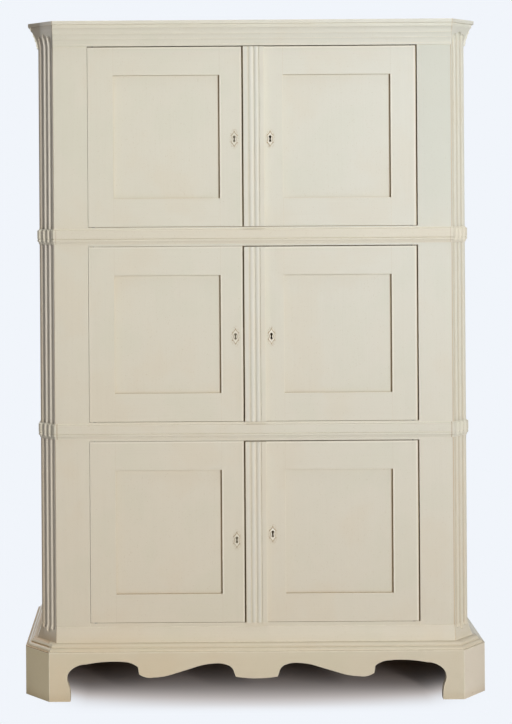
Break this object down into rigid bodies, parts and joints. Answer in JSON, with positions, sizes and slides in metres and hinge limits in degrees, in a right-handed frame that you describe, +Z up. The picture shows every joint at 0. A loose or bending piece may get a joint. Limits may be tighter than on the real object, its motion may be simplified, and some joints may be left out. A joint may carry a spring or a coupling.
{
  "type": "painted cupboard",
  "caption": "Tall painted cupboard in tiers with paired panelled doors, canted fluted corners, moulded bands and cornice, on a base with a scalloped apron and bracket feet.",
  "frame": {"origin": "on the floor, at the centre of the footprint", "axes": "+Z up along the height, -Y towards the front with the doors, +X to the right as seen from the front"},
  "size_m": [1.477, 0.534, 2.158],
  "materials": {
    "paint": "aged cream oil paint, brushed, slightly worn",
    "bare_wood": "unpainted pine, aged",
    "iron": "dark wrought iron",
    "brass": "dull aged brass"
  },
  "bodies": {
    "carcase": {"plinth_front": "paint", "plinth_corner_left": "paint", "plinth_corner_right": "paint", "plinth_side_left": "paint", "plinth_side_right": "paint", "plinth_back": "paint", "plinth_moulding": "paint", "side_board_left": "paint", "side_board_right": "paint", "corner_post_left": "paint", "corner_post_right": "paint", "face_stile_left": "paint", "face_stile_right": "paint", "head_rail": "paint", "waist_rail_upper": "paint", "waist_rail_lower": "paint", "sill_rail": "paint", "top_board": "bare_wood", "bottom_board": "bare_wood", "divider_upper": "bare_wood", "divider_lower": "bare_wood", "shelves": "bare_wood", "back_boards": "bare_wood", "cornice": "paint", "waist_moulding_upper": "paint", "waist_moulding_lower": "paint", "hinge_pins": "iron"},
    "upper_left_door": {"door_frame_upper_left": "paint", "door_panel_upper_left": "paint", "escutcheon_upper_left": "brass", "bolt_staples_upper": "iron"},
    "upper_slide_bolt": {"slide_bolt_upper": "iron"},
    "upper_right_door": {"door_frame_upper_right": "paint", "door_panel_upper_right": "paint", "escutcheon_upper_right": "brass", "cover_strip_upper": "paint", "lock_case_upper": "iron"},
    "upper_lock_bolt": {"lock_bolt_upper": "iron"},
    "middle_left_door": {"door_frame_middle_left": "paint", "door_panel_middle_left": "paint", "escutcheon_middle_left": "brass", "bolt_staples_middle": "iron"},
    "middle_slide_bolt": {"slide_bolt_middle": "iron"},
    "middle_right_door": {"door_frame_middle_right": "paint", "door_panel_middle_right": "paint", "escutcheon_middle_right": "brass", "cover_strip_middle": "paint", "lock_case_middle": "iron"},
    "middle_lock_bolt": {"lock_bolt_middle": "iron"},
    "lower_left_door": {"door_frame_lower_left": "paint", "door_panel_lower_left": "paint", "escutcheon_lower_left": "brass", "bolt_staples_lower": "iron"},
    "lower_slide_bolt": {"slide_bolt_lower": "iron"},
    "lower_right_door": {"door_frame_lower_right": "paint", "door_panel_lower_right": "paint", "escutcheon_lower_right": "brass", "cover_strip_lower": "paint", "lock_case_lower": "iron"},
    "lower_lock_bolt": {"lock_bolt_lower": "iron"}
  },
  "joints": [
    {"name": "upper_left_door_hinge", "type": "hinge", "parent": "carcase", "child": "upper_left_door", "pos_m": [-0.5108, -0.2105, 1.7885], "axis": [0, 0, -1], "range_deg": [0, 130]},
    {"name": "upper_right_door_hinge", "type": "hinge", "parent": "carcase", "child": "upper_right_door", "pos_m": [0.508, -0.2105, 1.7885], "axis": [0, 0, 1], "range_deg": [0, 130]},
    {"name": "upper_slide_bolt_slide", "type": "slide", "parent": "upper_left_door", "child": "upper_slide_bolt", "axis": [0, 0, 1], "range_m": [0, 0.016]},
    {"name": "upper_lock_bolt_slide", "type": "slide", "parent": "upper_right_door", "child": "upper_lock_bolt", "axis": [-1, 0, 0], "range_m": [0, 0.014]},
    {"name": "middle_left_door_hinge", "type": "hinge", "parent": "carcase", "child": "middle_left_door", "pos_m": [-0.5108, -0.2105, 1.1565], "axis": [0, 0, -1], "range_deg": [0, 130]},
    {"name": "middle_right_door_hinge", "type": "hinge", "parent": "carcase", "child": "middle_right_door", "pos_m": [0.508, -0.2105, 1.1565], "axis": [0, 0, 1], "range_deg": [0, 130]},
    {"name": "middle_slide_bolt_slide", "type": "slide", "parent": "middle_left_door", "child": "middle_slide_bolt", "axis": [0, 0, 1], "range_m": [0, 0.016]},
    {"name": "middle_lock_bolt_slide", "type": "slide", "parent": "middle_right_door", "child": "middle_lock_bolt", "axis": [-1, 0, 0], "range_m": [0, 0.014]},
    {"name": "lower_left_door_hinge", "type": "hinge", "parent": "carcase", "child": "lower_left_door", "pos_m": [-0.5108, -0.2105, 0.5235], "axis": [0, 0, -1], "range_deg": [0, 130]},
    {"name": "lower_right_door_hinge", "type": "hinge", "parent": "carcase", "child": "lower_right_door", "pos_m": [0.508, -0.2105, 0.5235], "axis": [0, 0, 1], "range_deg": [0, 130]},
    {"name": "lower_slide_bolt_slide", "type": "slide", "parent": "lower_left_door", "child": "lower_slide_bolt", "axis": [0, 0, 1], "range_m": [0, 0.016]},
    {"name": "lower_lock_bolt_slide", "type": "slide", "parent": "lower_right_door", "child": "lower_lock_bolt", "axis": [-1, 0, 0], "range_m": [0, 0.014]}
  ]
}
